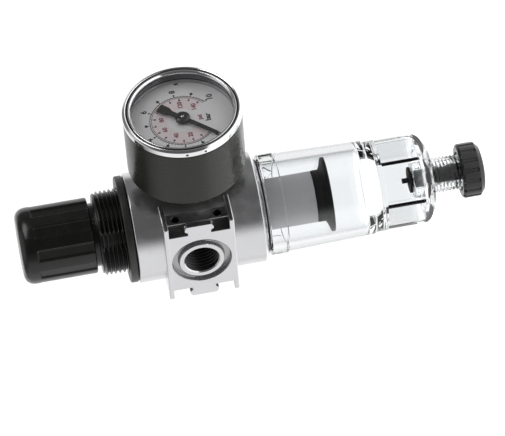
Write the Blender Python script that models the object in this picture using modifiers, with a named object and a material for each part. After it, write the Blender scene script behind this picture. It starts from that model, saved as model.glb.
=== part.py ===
"""Filter regulator for compressed air: body with two ports, pressure gauge,
threaded bonnet with a locking adjusting knob, clear bowl with filter and drain.

Frame: origin where the main axis meets the port axis, +Z up the main axis to
the adjusting knob, ports open along -X and +X, the gauge faces -Y.
All dimensions below are millimetres; geometry is built in metres.
"""
import math

import bmesh
import bpy
from mathutils import Matrix, Vector

MM = 0.001
GAP = 0.3            # clearance kept between touching solids

# ---- body ----
BODY_R = 19.0
BODY_TOP, BODY_BOTTOM = 21.4, -23.75
FACE_X = 20.0        # port faces at x = +-20
FACE_Y = 13.3        # half height of the port face across the gauge axis
RIB_Z0, RIB_Z1 = 10.4, 12.1
RIB_Y = 17.4
SHELF_X, SHELF_Y = 15.8, 15.3
TONGUE_Y = 17.25
PORT_R = 5.72        # G1/4 minor radius
PORT_DEPTH = 11.5
BOSS_R, GROOVE_R, GROOVE_D = 7.85, 10.2, 1.8
UP_R, UP_Z = 16.0, 13.7          # bonnet seat bore
DIA_R, DIA_Z = 14.2, 10.0        # chamber under the diaphragm
STEM_R = 3.4                     # passage through the seat wall
VALVE_R, VALVE_TOP = 7.0, 5.3    # valve chamber
BOWL_BORE_R, BOWL_BORE_Z = 15.4, -12.0
GAUGE_PORT_R = 4.8
GAUGE_FLAT_Y = 20.2

# ---- bonnet, nut and knob ----
THREAD_R = 14.5
SHOULDER_Z = 33.1
WALL_Z = 32.0
NECK_R, NECK_RI, NECK_Z = 10.9, 8.5, 43.0
NUT_R, NUT_Z0, NUT_Z1 = 18.45, 21.7, 24.3
KNOB_R, KNOB_Z0, KNOB_Z1, KNOB_BAND = 13.2, 34.9, 60.0, 54.6
KNOB_RIBS = 10
KNOB_RIB_START = math.radians(-151.2)
SCREW_R = 3.0
SCREW_PITCH = 1.0

# ---- bowl and drain ----
COLLAR_R, COLLAR_Z0, COLLAR_Z1 = 17.4, -24.9, -30.5
BOWL_R, BOWL_R2, STEP_Z = 17.0, 16.2, -61.4
HEX_AF = 27.0
HEX_BOTTOM = -79.5
NIPPLE_R, NIPPLE_Z = 6.2, -95.4
DRAIN_R, DRAIN_Z0, DRAIN_Z1 = 9.5, -93.4, -101.8

# ---- gauge (distances from the main axis, towards -Y) ----
G_BACK, G_FRONT = 28.3, 54.2
G_R = 20.0
DIAL_Y = 47.4
SECTOR_Z = -9.5
SECTOR_R = 7.75
POINTER_REST = math.radians(228.0)

for o in list(bpy.data.objects):
    bpy.data.objects.remove(o, do_unlink=True)

PARTS = bpy.data.collections.new("filter_regulator")
CUTTERS = bpy.data.collections.new("cutters")
bpy.context.scene.collection.children.link(PARTS)
bpy.context.scene.collection.children.link(CUTTERS)


def material(name, colour, rough, metal=0.0, alpha=1.0, transmission=0.0):
    m = bpy.data.materials.new(name)
    m.use_nodes = True
    b = m.node_tree.nodes["Principled BSDF"]
    b.inputs["Base Color"].default_value = (*colour, 1.0)
    b.inputs["Roughness"].default_value = rough
    b.inputs["Metallic"].default_value = metal
    b.inputs["Alpha"].default_value = alpha
    b.inputs["Transmission Weight"].default_value = transmission
    return m


CAST = material("cast_grey", (0.42, 0.42, 0.42), 0.42, 0.6)
BLACK = material("black_plastic", (0.012, 0.012, 0.012), 0.38)
BLACKM = material("black_enamel", (0.02, 0.02, 0.018), 0.3)
CLEAR = material("clear_bowl", (0.95, 0.96, 0.97), 0.05, 0.0, 1.0, 0.95)
FILTER = material("filter_grey", (0.35, 0.35, 0.35), 0.8)
RUBBER = material("rubber_black", (0.01, 0.01, 0.01), 0.6)
STEEL = material("spring_steel", (0.55, 0.55, 0.55), 0.3, 1.0)
BRASS = material("brass", (0.62, 0.45, 0.18), 0.3, 1.0)
CHROME = material("chrome", (0.8, 0.8, 0.8), 0.08, 1.0)
DIAL = material("dial_white", (0.75, 0.75, 0.74), 0.6)


def place(ob, mat, coll=None):
    (coll or PARTS).objects.link(ob)
    if mat:
        ob.data.materials.append(mat)
    if coll is CUTTERS:
        ob.hide_render = True
        ob.display_type = "WIRE"
    return ob


def turned(name, profile, mat=None, coll=None, ring=False, loc=(0, 0, 0), rot=(0, 0, 0), steps=32):
    """Profile points (radius, height) run down the outer side, then back up."""
    me = bpy.data.meshes.new(name)
    n = len(profile)
    edges = [(i, i + 1) for i in range(n - 1)] + ([(n - 1, 0)] if ring else [])
    me.from_pydata([(r * MM, 0, z * MM) for r, z in profile], edges, [])
    ob = place(bpy.data.objects.new(name, me), mat, coll)
    s = ob.modifiers.new("screw", "SCREW")
    s.axis = "Z"
    s.steps = s.render_steps = steps
    s.use_merge_vertices = True
    s.merge_threshold = 0.00001
    s.use_smooth_shade = True
    ob.location = [c * MM for c in loc]
    ob.rotation_euler = rot
    return ob


def rod(name, r, z0, z1, mat=None, coll=None, **kw):
    return turned(name, [(0, z1), (r, z1), (r, z0), (0, z0)], mat, coll, **kw)


def box(name, lo, hi, mat=None, coll=None):
    me = bpy.data.meshes.new(name)
    bm = bmesh.new()
    bmesh.ops.create_cube(bm, size=1.0)
    size = [(b - a) * MM for a, b in zip(lo, hi)]
    mid = [(b + a) / 2 * MM for a, b in zip(lo, hi)]
    bmesh.ops.transform(bm, matrix=Matrix.Translation(mid) @ Matrix.Diagonal((*size, 1)), verts=bm.verts)
    bm.to_mesh(me)
    bm.free()
    return place(bpy.data.objects.new(name, me), mat, coll)


def outline(name, points, z0, z1, mat=None, coll=None, holes=(), loc=(0, 0, 0), rot=(0, 0, 0)):
    """A flat outline in local XY, filled and given a thickness, as a mesh."""
    cu = bpy.data.curves.new(name + "_outline", "CURVE")
    cu.dimensions = "2D"
    cu.fill_mode = "BOTH"
    cu.extrude = (z1 - z0) / 2 * MM
    for pts in [points, *holes]:
        sp = cu.splines.new("POLY")
        sp.points.add(len(pts) - 1)
        for p, (x, y) in zip(sp.points, pts):
            p.co = (x * MM, y * MM, 0, 1)
        sp.use_cyclic_u = True
    tmp = bpy.data.objects.new(name + "_outline", cu)
    bpy.context.scene.collection.objects.link(tmp)
    me = bpy.data.meshes.new_from_object(tmp.evaluated_get(bpy.context.evaluated_depsgraph_get()))
    bpy.data.objects.remove(tmp, do_unlink=True)
    bm = bmesh.new()
    bm.from_mesh(me)
    bmesh.ops.remove_doubles(bm, verts=bm.verts, dist=0.000005)
    bmesh.ops.translate(bm, vec=(0, 0, (z0 + z1) / 2 * MM), verts=bm.verts)
    bmesh.ops.recalc_face_normals(bm, faces=bm.faces)
    bm.to_mesh(me)
    bm.free()
    ob = place(bpy.data.objects.new(name, me), mat, coll)
    ob.location = [c * MM for c in loc]
    ob.rotation_euler = rot
    return ob


def around(name, n, make, start=0.0):
    """n copies of a cutter mesh, turned about Z, as one cutter."""
    base = make()
    src = bpy.data.meshes.new_from_object(base.evaluated_get(bpy.context.evaluated_depsgraph_get()))
    src.transform(base.matrix_world if base.matrix_world != Matrix() else Matrix.LocRotScale(base.location, base.rotation_euler, None))
    bpy.data.objects.remove(base, do_unlink=True)
    bm = bmesh.new()
    for i in range(n):
        part = src.copy()
        part.transform(Matrix.Rotation(start + 2 * math.pi * i / n, 4, "Z"))
        bm.from_mesh(part)
        bpy.data.meshes.remove(part)
    me = bpy.data.meshes.new(name)
    bm.to_mesh(me)
    bm.free()
    return place(bpy.data.objects.new(name, me), None, CUTTERS)


def boolean(ob, other, op="DIFFERENCE"):
    m = ob.modifiers.new(op.lower(), "BOOLEAN")
    m.operation = op
    m.solver = "EXACT"
    m.object = other
    return ob


def circle(r, n=24, cx=0.0, cy=0.0):
    return [(cx + r * math.cos(2 * math.pi * i / n), cy + r * math.sin(2 * math.pi * i / n)) for i in range(n)]


def coil(name, r, wire, z0, z1, turns, mat, per_turn=12):
    """Compression spring with a closed, flat turn at each end."""
    cu = bpy.data.curves.new(name, "CURVE")
    cu.dimensions = "3D"
    cu.bevel_depth = wire * MM
    cu.bevel_resolution = 1
    cu.use_fill_caps = True
    n = int(turns * per_turn)
    sp = cu.splines.new("POLY")
    sp.points.add(n)
    lo, hi = z0 + wire, z1 - wire
    for i in range(n + 1):
        t = i / n
        a = 2 * math.pi * turns * t
        dead = 0.5 / turns
        u = min(max((t - dead) / (1 - 2 * dead), 0.0), 1.0)
        sp.points[i].co = (r * math.cos(a) * MM, r * math.sin(a) * MM, (lo + (hi - lo) * u) * MM, 1)
    return place(bpy.data.objects.new(name, cu), mat)


Y_OUT = (math.pi / 2, 0, 0)      # local Z points to -Y
X_POS = (0, math.pi / 2, 0)      # local Z points to +X
X_NEG = (0, -math.pi / 2, 0)     # local Z points to -X
Y_BACK = (-math.pi / 2, 0, 0)    # local Z points to +Y


# ------------------------------------------------------------------ body
body = turned("body", [(0, BODY_TOP), (BODY_R - 0.4, BODY_TOP), (BODY_R, BODY_TOP - 0.4),
                       (BODY_R, BODY_BOTTOM + 1.3), (BODY_R - 1.8, BODY_BOTTOM), (0, BODY_BOTTOM)], CAST, steps=48)
boolean(body, box("c_face_block", (-FACE_X, -FACE_Y, -RIB_Z0 - 0.4), (FACE_X, FACE_Y, RIB_Z0 + 0.4), coll=CUTTERS), "UNION")
boolean(body, box("c_shelf_block", (-SHELF_X, -SHELF_Y, -RIB_Z0 - 0.2), (SHELF_X, SHELF_Y, RIB_Z0 + 0.2), coll=CUTTERS), "UNION")
for s, tag in ((1, "top"), (-1, "low")):
    z = sorted((s * RIB_Z0, s * RIB_Z1))
    boolean(body, box("c_rib_" + tag, (-FACE_X - 0.05, -RIB_Y, z[0]), (FACE_X + 0.05, RIB_Y, z[1]), coll=CUTTERS), "UNION")
TONGUE = [(-4.0, 12.6), (4.0, 12.6), (4.0, 14.4), (5.0, 15.0), (5.0, 16.0), (4.2, TONGUE_Y),
          (-4.2, TONGUE_Y), (-5.0, 16.0), (-5.0, 15.0), (-4.0, 14.4)]
for sx, rx, t1 in ((-1, X_NEG, "left"), (1, X_POS, "right")):
    for sy, t2 in ((-1, "front"), (1, "rear")):
        # outline u runs along Z of the part, v along Y
        pts = [(u, v * sy) for u, v in TONGUE]
        if sy < 0:
            pts.reverse()
        boolean(body, outline("c_tongue_%s_%s" % (t1, t2), [(-sx * u, v) for u, v in pts], FACE_X - 2.1, FACE_X + 0.02,
                              coll=CUTTERS, rot=rx), "UNION")
for rot, t in ((Y_OUT, "front"), (Y_BACK, "rear")):
    boolean(body, rod("c_pad_" + t, 8.2, 12.5, GAUGE_FLAT_Y, coll=CUTTERS, rot=rot, steps=32), "UNION")
boolean(body, turned("c_bores", [(0, 30), (UP_R, 30), (UP_R, UP_Z), (DIA_R, UP_Z), (DIA_R, DIA_Z), (STEM_R, DIA_Z),
                                 (STEM_R, VALVE_TOP), (VALVE_R, VALVE_TOP), (VALVE_R, BOWL_BORE_Z),
                                 (BOWL_BORE_R, BOWL_BORE_Z), (BOWL_BORE_R, -30), (0, -30)], coll=CUTTERS, steps=40))
for rot, t in ((X_NEG, "left"), (X_POS, "right")):
    boolean(body, turned("c_port_" + t, [(0, FACE_X + 2), (PORT_R + 1.0, FACE_X + 2), (PORT_R + 1.0, FACE_X), (PORT_R, FACE_X - 1.0),
                                         (PORT_R, FACE_X - PORT_DEPTH), (0, FACE_X - PORT_DEPTH)], coll=CUTTERS, rot=rot, steps=30))
    boolean(body, turned("c_groove_" + t, [(GROOVE_R, FACE_X + 2), (GROOVE_R, FACE_X - GROOVE_D), (BOSS_R, FACE_X - GROOVE_D),
                                           (BOSS_R, FACE_X + 2)], coll=CUTTERS, ring=True, rot=rot, steps=32))
for rot, t in ((Y_OUT, "front"), (Y_BACK, "rear")):
    boolean(body, rod("c_gauge_port_" + t, GAUGE_PORT_R, 9.2, 24, coll=CUTTERS, rot=rot, steps=30))
boolean(body, rod("c_inlet_duct", 2.4, BOWL_BORE_Z - 1, 0.5, coll=CUTTERS, loc=(-11.6, 0, 0), steps=14))
boolean(body, rod("c_outlet_duct", 2.4, -0.5, DIA_Z + 1, coll=CUTTERS, loc=(11.6, 0, 0), steps=14))
boolean(body, rod("c_gauge_duct", 1.2, -0.5, DIA_Z + 1, coll=CUTTERS, loc=(0, -12.2, 0), steps=8))
boolean(body, rod("c_rear_duct", 1.2, -0.5, DIA_Z + 1, coll=CUTTERS, loc=(0, 12.2, 0), steps=8))
for sx in (-1, 1):
    for sy, rot in ((-1, Y_OUT), (1, Y_BACK)):
        for sz in (-1, 1):
            boolean(body, rod("c_screw_hole_%d%d%d" % (sx > 0, sy > 0, sz > 0), 1.35, 10.2, 19, coll=CUTTERS,
                              loc=(13.5 * sx, 0, 7.2 * sz), rot=rot, steps=10))

# ------------------------------------------------------------------ bonnet, nut, knob
KEY_W = 3.0
bonnet = turned("bonnet", [(NECK_R, NECK_Z), (NECK_R, SHOULDER_Z), (THREAD_R - 0.6, SHOULDER_Z), (THREAD_R, SHOULDER_Z - 0.6),
                           (THREAD_R, BODY_TOP + 0.3), (15.6, BODY_TOP + 0.1), (15.6, 15.1), (11.8, 15.1), (11.8, WALL_Z),
                           (3.4, WALL_Z), (3.4, 35.0), (NECK_RI, 35.0), (NECK_RI, NECK_Z)], BLACK, ring=True, steps=36)
boolean(bonnet, box("c_keyways", (-12.9, -KEY_W / 2, 12), (12.9, KEY_W / 2, WALL_Z - 0.6), coll=CUTTERS))
panel_nut = turned("panel_nut", [(NUT_R - 0.3, NUT_Z1), (NUT_R, NUT_Z1 - 0.3), (NUT_R, NUT_Z0 + 0.3), (NUT_R - 0.3, NUT_Z0),
                                 (THREAD_R + 0.25, NUT_Z0), (THREAD_R + 0.25, NUT_Z1)], BLACK, ring=True, steps=36)

knob_corner = [(KNOB_R - 3.4 + 3.4 * math.sin(a), KNOB_Z1 - 3.4 + 3.4 * math.cos(a)) for a in [math.pi / 2 * i / 5 for i in range(6)]]
knob = turned("adjusting_knob", [(0, KNOB_Z1)] + knob_corner + [(KNOB_R, KNOB_Z0 + 0.4), (KNOB_R - 0.4, KNOB_Z0), (11.3, KNOB_Z0), (11.3, 44.5), (10.0, 44.5),
                                 (10.0, 57.0), (5.6, 57.0), (5.6, 36.2), (3.3, 36.2), (3.3, 57.6), (0, 57.6)], BLACK, steps=32)
boolean(knob, around("c_knob_grooves", KNOB_RIBS, lambda: box("g", (KNOB_R - 0.55, -0.9, KNOB_Z0 - 2), (KNOB_R + 2, 0.9, KNOB_BAND)),
                     KNOB_RIB_START))

screw = turned("adjusting_screw", [(0, 57.2), (2.4, 57.2), (SCREW_R, 56.6), (SCREW_R, 31.7), (5.0, 31.7), (5.0, 30.4),
                                   (SCREW_R, 30.4), (SCREW_R, 20.6), (2.4, 20.0), (0, 20.0)], STEEL, steps=24)
nut = outline("spring_nut", [(11.4 * math.cos(a), 11.4 * math.sin(a)) for a in [2 * math.pi * i / 40 for i in range(40)]],
              26.2, 30.0, BRASS, holes=[circle(SCREW_R + 0.3, 24)])
boolean(nut, box("c_nut_keys", (-12.5, -1.2, 26.3), (12.5, 1.2, 29.9), coll=CUTTERS), "UNION")
boolean(nut, rod("c_nut_hole", SCREW_R + 0.3, 20, 40, coll=CUTTERS, steps=24))
coil("range_spring", 8.0, 0.75, 17.7, 25.9, 3.5, STEEL)
turned("diaphragm_plate", [(0, 17.4), (5.2, 17.4), (5.2, 18.6), (6.4, 18.6), (6.4, 17.4), (10.6, 17.4), (10.6, 15.9), (6.8, 15.9), (6.8, 12.6), (3.0, 12.6),
                           (3.0, 11.6), (0, 11.6)], BRASS, steps=32)
turned("diaphragm", [(15.6, 14.8), (15.6, 14.0), (12.6, 14.0), (10.6, 13.3), (7.2, 13.3), (7.2, 14.1), (10.4, 14.1), (12.4, 14.8)], RUBBER, ring=True, steps=32)

# ------------------------------------------------------------------ valve
turned("valve_seat", [(6.6, 5.0), (6.6, 2.9), (4.2, 2.9), (4.2, 2.6), (3.2, 2.6), (3.2, 5.0)], BRASS, ring=True, steps=24)
turned("valve_plug", [(0, 11.3), (1.3, 11.3), (1.3, 2.3), (5.0, 2.3), (5.4, 1.9), (5.4, -0.4), (2.1, -0.4), (2.1, -8.4), (0, -8.4)], BRASS, steps=24)
coil("valve_spring", 3.7, 0.4, -6.6, -0.7, 4.5, STEEL, per_turn=10)
guide = turned("valve_guide", [(6.6, -6.9), (6.6, -11.6), (4.6, -11.6), (4.6, -14.9), (3.3, -14.9), (3.3, -10.2), (2.4, -10.2), (2.4, -6.9)], BRASS, ring=True, steps=24)
boolean(guide, around("c_guide_holes", 6, lambda: rod("g", 0.8, -16, -4, steps=8, loc=(5.65, 0, 0))))

# ------------------------------------------------------------------ filter
swirl = turned("swirl_ring", [(12.9, -12.4), (12.9, -15.6), (5.2, -15.6), (5.2, -12.4)], BLACK, ring=True, steps=32)
boolean(swirl, around("c_swirl_slots", 10, lambda: box("g", (10.6, -1.1, -17), (14, 1.1, -10)), 0.2))
turned("filter_element", [(8.85, -15.9), (8.85, -42.2), (6.2, -42.2), (6.2, -15.9)], FILTER, ring=True, steps=32)
turned("baffle", [(0, -10.6), (2.9, -10.6), (2.9, -42.5), (8.95, -42.5), (8.95, -45.0), (10.2, -45.7), (12.9, -46.5), (12.9, -47.5), (11.9, -47.5),
                  (9.0, -46.4), (7.4, -45.8), (7.4, -44.4), (0, -44.4)], BLACK, steps=32)

# ------------------------------------------------------------------ bowl
HEX_R = HEX_AF / 2 / math.cos(math.pi / 6)
bowl = turned("bowl", [(0, -13.4), (15.0, -13.4), (15.0, COLLAR_Z0), (COLLAR_R, COLLAR_Z0), (COLLAR_R, COLLAR_Z1), (BOWL_R, COLLAR_Z1 - 0.4),
                       (BOWL_R2, STEP_Z), (13.3, STEP_Z - 0.9), (13.3, HEX_BOTTOM), (0, HEX_BOTTOM)], CLEAR, steps=36)
hexa = [(HEX_R * math.cos(math.radians(-135 + 30 + 60 * i)), HEX_R * math.sin(math.radians(-135 + 30 + 60 * i))) for i in range(6)]
lower = outline("c_hex", hexa, -83.6, STEP_Z - 0.3, coll=CUTTERS)
boolean(lower, turned("c_hex_dome", [(0, -50), (HEX_R + 0.2, -50), (HEX_R + 0.2, HEX_BOTTOM + 0.4), (14.4, HEX_BOTTOM - 1.5), (12.4, -82.6), (10.6, -83.4), (0, -83.4)],
                      coll=CUTTERS, steps=36), "INTERSECT")
boolean(bowl, lower, "UNION")
boolean(bowl, turned("c_nipple", [(0, -81), (NIPPLE_R + 0.3, -81), (NIPPLE_R + 0.3, -83.9), (NIPPLE_R, -84.3), (NIPPLE_R - 0.3, NIPPLE_Z), (0, NIPPLE_Z)],
                     coll=CUTTERS, steps=32), "UNION")
boolean(bowl, turned("c_bowl_inside", [(0, -10), (13.5, -10), (13.5, -23.5), (14.0, -25.5), (13.6, STEP_Z + 1), (11.8, STEP_Z - 1.5), (11.8, -78.2), (10.0, -80.6), (6.6, -81.2),
                                       (6.6, -76.9), (0, -76.9)], coll=CUTTERS, steps=36))
boolean(bowl, turned("c_drain_bore", [(0, -70), (3.4, -70), (3.4, -84.2), (4.1, -84.2), (4.1, -99), (0, -99)], coll=CUTTERS, steps=32))


def torus(name, big, small, z, mat, n_big=40, n_small=10, loc=(0, 0, 0), rot=(0, 0, 0)):
    prof = [(big + small * math.sin(2 * math.pi * i / n_small), z + small * math.cos(2 * math.pi * i / n_small)) for i in range(n_small)]
    return turned(name, prof, mat, ring=True, steps=n_big, loc=loc, rot=rot)


torus("bowl_o_ring", 16.0, 0.42, -24.3, RUBBER, 36, 6)
stem = turned("drain_stem", [(0, -73.4), (0.9, -73.4), (0.9, -75.7), (4.5, -75.7), (4.5, -76.6), (3.0, -76.6), (3.0, -100.3), (0, -100.3)], BLACK, steps=28)
torus("drain_o_ring", 3.57, 0.42, -86.6, RUBBER, 24, 6)
dknob = turned("drain_knob", [(0, -100.6), (3.3, -100.6), (3.3, -97.4), (6.8, -97.4), (6.8, DRAIN_Z0), (DRAIN_R - 0.6, DRAIN_Z0), (DRAIN_R, DRAIN_Z0 - 0.8),
                              (DRAIN_R, -99.6), (DRAIN_R - 1.8, -101.2), (5.0, DRAIN_Z1), (0, DRAIN_Z1)], BLACK, steps=32)
boolean(dknob, around("c_drain_grooves", 16, lambda: box("g", (DRAIN_R - 0.5, -0.5, -99.4), (DRAIN_R + 2, 0.5, DRAIN_Z0 + 2))))

# ------------------------------------------------------------------ rear port plug
plug = turned("rear_plug", [(0, 21.9), (6.6, 21.9), (7.0, 21.5), (7.0, 20.5), (4.5, 20.5), (4.5, 14.0), (0, 14.0)], BRASS, rot=Y_BACK, steps=32)
boolean(plug, outline("c_plug_hex", circle(2.9, 6), 19.0, 24, coll=CUTTERS, rot=Y_BACK))

# ------------------------------------------------------------------ gauge
conn = turned("gauge_connector", [(0, 34.0), (4.0, 34.0), (4.0, 27.6), (6.0, 27.6), (6.0, 20.5), (4.5, 20.5), (4.5, 13.0), (0, 13.0)], BRASS, rot=Y_OUT, steps=32)
boolean(conn, outline("c_conn_hex", circle(7.0 / math.cos(math.pi / 6), 6), 21.2, 26.8, coll=CUTTERS, rot=Y_OUT), "UNION")
boolean(conn, box("c_conn_block", (-3.0, -36.4, -16.0), (3.0, -31.2, 2.8), coll=CUTTERS), "UNION")
boolean(conn, rod("c_conn_bore", 1.2, 10, 33.0, coll=CUTTERS, rot=Y_OUT, steps=12))

turned("gauge_case", [(G_R, 51.2), (G_R, G_BACK + 0.9), (G_R - 0.3, G_BACK + 0.3), (G_R - 1.0, G_BACK), (4.5, G_BACK), (4.5, G_BACK + 1.4), (18.5, G_BACK + 1.4),
                      (18.5, 51.2)], BLACKM, ring=True, rot=Y_OUT, steps=36)
turned("gauge_bezel", [(17.3, G_FRONT - 0.4), (17.8, G_FRONT), (19.4, G_FRONT - 0.2), (G_R + 0.1, G_FRONT - 1.2), (G_R + 0.1, 51.5), (18.4, 51.5), (18.4, 52.9), (17.3, 52.9)],
       CHROME, ring=True, rot=Y_OUT, steps=36)
rod("gauge_lens", 18.1, 51.5, 52.6, CLEAR, rot=Y_OUT, steps=36)
turned("gauge_dial", [(18.2, 47.9), (18.2, DIAL_Y), (1.2, DIAL_Y), (1.2, 47.9)], DIAL, ring=True, rot=Y_OUT, steps=36)
rod("pointer_stop", 0.35, 48.2, 49.6, STEEL, loc=(-10.4, 0, -12.2), rot=Y_OUT, steps=10)

ptr = turned("gauge_pointer", [(0, 50.1), (2.5, 50.1), (2.5, 48.6), (0.9, 48.6), (0.9, 49.8), (0, 49.8)], BLACKM, rot=Y_OUT, steps=28)
ca, sa = math.cos(POINTER_REST), math.sin(POINTER_REST)
blade = [(14.2, 0.12), (14.2, -0.12), (1.5, -0.75), (-5.0, -0.6), (-6.4, -1.5), (-9.4, -1.7), (-9.4, 1.7), (-6.4, 1.5), (-5.0, 0.6), (1.5, 0.75)]
blade = [(u * ca - v * sa, u * sa + v * ca) for u, v in blade]
boolean(ptr, outline("c_blade", blade, 48.9, 49.4, coll=CUTTERS, rot=Y_OUT), "UNION")
boolean(ptr, turned("c_ptr_bore", [(0, 49.8), (0.9, 49.8), (0.9, 45), (0, 45)], coll=CUTTERS, rot=Y_OUT, steps=28))
shaft = turned("pointer_shaft", [(0, 49.5), (0.6, 49.5), (0.6, 41.6), (1.4, 41.6), (1.4, 40.0), (0.6, 40.0), (0.6, 37.4), (0, 37.4)], STEEL, rot=Y_OUT, steps=20)

# movement: two plates and posts, sector gear, link
post = [(-6.6, -3.0), (5.4, 1.2)]
plate_shape = [(-8.4, 2.6), (-8.4, -5.0), (-3.6, -11.8), (3.6, -11.8), (8.4, -5.0), (8.4, 2.6)][::-1]
low = outline("movement_plate_rear", plate_shape, 36.8, 37.9, BRASS, holes=[circle(0.9, 14), circle(0.9, 14, 0, SECTOR_Z)], rot=Y_OUT)
for i, (x, z) in enumerate(post):
    boolean(low, rod("c_post_%d" % i, 1.0, 37.4, 43.1, coll=CUTTERS, loc=(x, 0, z), rot=Y_OUT, steps=14), "UNION")
outline("movement_plate_front", plate_shape, 43.4, 44.4, BRASS, holes=[circle(0.9, 14), circle(0.9, 14, 0, SECTOR_Z)], rot=Y_OUT)
a0, a1 = math.radians(90 - 62), math.radians(90 + 8)
arc = [(SECTOR_R * math.cos(a0 + (a1 - a0) * i / 24), SECTOR_Z + SECTOR_R * math.sin(a0 + (a1 - a0) * i / 24)) for i in range(25)]
TAIL = (3.6, SECTOR_Z - 0.8)
TIP = (13.6, -0.5)
sector_pts = [(1.8, SECTOR_Z + 0.3)] + arc + [(-1.4, SECTOR_Z + 0.5), (-1.0, SECTOR_Z - 1.4), (4.2, SECTOR_Z - 1.7), (4.7, SECTOR_Z - 0.1)]
sector = outline("sector_gear", sector_pts, 40.2, 41.2, BRASS, rot=Y_OUT)
boolean(sector, rod("c_sector_arbor", 0.6, 37.3, 44.0, coll=CUTTERS, loc=(0, 0, SECTOR_Z), rot=Y_OUT, steps=16), "UNION")
ux, uz = (TIP[0] - TAIL[0]) / math.dist(TAIL, TIP), (TIP[1] - TAIL[1]) / math.dist(TAIL, TIP)
link_pts = [(TAIL[0] - 0.9 * ux - 0.6 * uz, TAIL[1] - 0.9 * uz + 0.6 * ux), (TAIL[0] - 0.9 * ux + 0.6 * uz, TAIL[1] - 0.9 * uz - 0.6 * ux),
            (TIP[0] + 0.9 * ux + 0.6 * uz, TIP[1] + 0.9 * uz - 0.6 * ux), (TIP[0] + 0.9 * ux - 0.6 * uz, TIP[1] + 0.9 * uz + 0.6 * ux)]
outline("tube_link", link_pts, 41.5, 42.1, STEEL, rot=Y_OUT)

tube_cu = bpy.data.curves.new("bourdon_tube", "CURVE")
tube_cu.dimensions = "3D"
tube_cu.bevel_depth = 1.3 * MM
tube_cu.bevel_resolution = 1
tube_cu.use_fill_caps = True
sp = tube_cu.splines.new("POLY")
N = 30
sp.points.add(N)
for i in range(N + 1):
    a = math.radians(-104 - 250 * i / N)
    sp.points[i].co = (14.6 * math.cos(a) * MM, 14.6 * math.sin(a) * MM, 0, 1)
tube = place(bpy.data.objects.new("bourdon_tube", tube_cu), BRASS)
tube.location = (0, -33.8 * MM, 0)
tube.rotation_euler = Y_OUT
box("tube_tip", (12.8, -41.2, -2.0), (15.8, -32.6, 1.1), BRASS)

# hairspring: flat spiral between pinion and front plate
hs = bpy.data.curves.new("hairspring", "CURVE")
hs.dimensions = "3D"
hs.bevel_depth = 0.12 * MM
hs.bevel_resolution = 0
hs.use_fill_caps = True
sp = hs.splines.new("POLY")
N = 48
sp.points.add(N)
for i in range(N + 1):
    t = i / N
    r = 1.1 + 3.2 * t
    a = 2 * math.pi * 4.5 * t
    sp.points[i].co = (r * math.cos(a) * MM, r * math.sin(a) * MM, 0, 1)
hair = place(bpy.data.objects.new("hairspring", hs), STEEL)
hair.location = (0, -42.55 * MM, 0)
hair.rotation_euler = Y_OUT

for ob in PARTS.objects:
    if ob.type == "MESH":
        ob.data.shade_smooth()
        ob.data.set_sharp_from_angle(angle=math.radians(35))
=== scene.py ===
import math

import bmesh
import bpy
from mathutils import Matrix, Vector


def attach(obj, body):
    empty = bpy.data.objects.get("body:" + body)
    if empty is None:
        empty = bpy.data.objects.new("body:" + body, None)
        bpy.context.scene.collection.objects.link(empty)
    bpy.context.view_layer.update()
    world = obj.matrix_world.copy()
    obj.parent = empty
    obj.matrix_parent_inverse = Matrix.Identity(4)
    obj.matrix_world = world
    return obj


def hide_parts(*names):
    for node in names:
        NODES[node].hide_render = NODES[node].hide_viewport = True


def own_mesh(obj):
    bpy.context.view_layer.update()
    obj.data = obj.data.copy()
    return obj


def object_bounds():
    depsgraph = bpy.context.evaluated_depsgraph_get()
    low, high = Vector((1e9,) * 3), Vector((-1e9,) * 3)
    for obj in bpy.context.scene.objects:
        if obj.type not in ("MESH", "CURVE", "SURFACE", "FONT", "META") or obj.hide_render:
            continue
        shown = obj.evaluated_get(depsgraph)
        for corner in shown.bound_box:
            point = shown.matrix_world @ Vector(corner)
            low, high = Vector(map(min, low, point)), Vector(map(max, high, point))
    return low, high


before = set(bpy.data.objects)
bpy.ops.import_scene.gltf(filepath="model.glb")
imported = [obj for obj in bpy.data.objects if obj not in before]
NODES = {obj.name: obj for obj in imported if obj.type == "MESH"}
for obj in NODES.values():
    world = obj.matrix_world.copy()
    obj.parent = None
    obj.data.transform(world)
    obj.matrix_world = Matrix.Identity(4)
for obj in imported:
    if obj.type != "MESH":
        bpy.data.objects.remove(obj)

MM = 0.001
scene = bpy.context.scene
CAD_BOX = [list(map(float, c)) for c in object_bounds()]

# ------------------------------------------------------------------ camera, light, floor
cam_data = bpy.data.cameras.new("camera")
cam_data.sensor_width = 36.0
cam_data.lens = 297.225
cam_data.clip_start = 0.05
cam_data.clip_end = 200.0
cam = bpy.data.objects.new("camera", cam_data)
cam.matrix_world = Matrix(((-0.18301431, 0.72133203, -0.66797146, -0.95803374),
                           (0.05258549, -0.67129188, -0.73932535, -1.05488770),
                           (-0.98170287, -0.17043272, 0.08492442, 0.10096364),
                           (0.0, 0.0, 0.0, 1.0)))
scene.collection.objects.link(cam)
scene.camera = cam
scene.view_settings.view_transform = "Standard"
scene.view_settings.look = "None"
scene.view_settings.exposure = 0.0
scene.view_settings.gamma = 1.0

# A white studio: bright behind and below the object, grey to one side, dark where the photographer stands.
world = bpy.data.worlds.new("studio")
scene.world = world
world.use_nodes = True
wt = world.node_tree
wt.nodes.clear()
w_out = wt.nodes.new("ShaderNodeOutputWorld")
w_bg = wt.nodes.new("ShaderNodeBackground")
w_white = wt.nodes.new("ShaderNodeBackground")
w_mix = wt.nodes.new("ShaderNodeMixShader")
w_path = wt.nodes.new("ShaderNodeLightPath")
w_co = wt.nodes.new("ShaderNodeTexCoord")


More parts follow.
